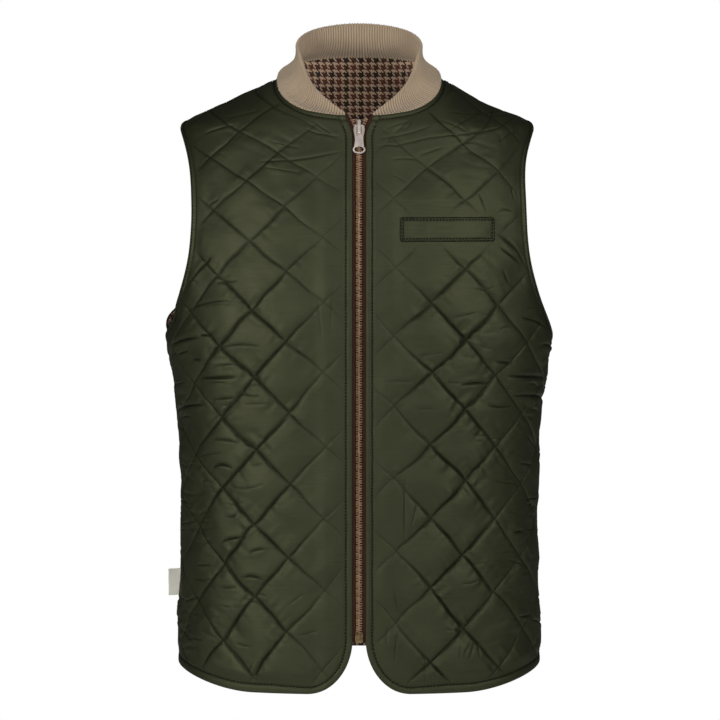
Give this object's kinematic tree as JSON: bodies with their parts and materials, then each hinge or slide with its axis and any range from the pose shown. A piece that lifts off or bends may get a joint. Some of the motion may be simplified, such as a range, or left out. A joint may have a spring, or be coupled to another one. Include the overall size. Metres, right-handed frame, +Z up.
{
  "type": "reversible vest",
  "caption": "Sleeveless zip-front vest filled out as worn, diamond-quilted outside, checked cloth inside, with a rib collar, a welt chest pocket, open armholes and a hinged zip pull.",
  "frame": {"origin": "in the middle of the neck, level with the neck ends of the shoulder seams, where the wearer's shoulders carry the vest", "axes": "+Z up, the front faces -Y, +X to the wearer's left"},
  "size_m": [0.4324, 0.2788, 0.7388],
  "materials": {
    "quilted_cloth": "satin",
    "checked_cloth": "matte",
    "rib_knit": "matte",
    "zip_tape": "matte",
    "zip_brass": "worn",
    "zip_slider": "satin",
    "label_cloth": "matte"
  },
  "bodies": {
    "vest": {"front_right": "quilted_cloth", "front_left": "quilted_cloth", "back": "quilted_cloth", "chest_welt": "quilted_cloth", "lining_front_right": "checked_cloth", "lining_front_left": "checked_cloth", "lining_back": "checked_cloth", "collar_rib": "rib_knit", "zip_tape_right": "zip_tape", "zip_tape_left": "zip_tape", "zip_chain_right": "zip_brass", "zip_chain_left": "zip_brass", "zip_box": "zip_brass", "zip_slider": "zip_slider", "side_label": "label_cloth"},
    "pull": {"zip_pull": "zip_slider"}
  },
  "joints": [
    {"name": "pull_swing", "type": "hinge", "parent": "vest", "child": "pull", "pos_m": [0, -0.10258, -0.05646], "axis": [-1, 0, 0], "range_deg": [0, 165]}
  ]
}
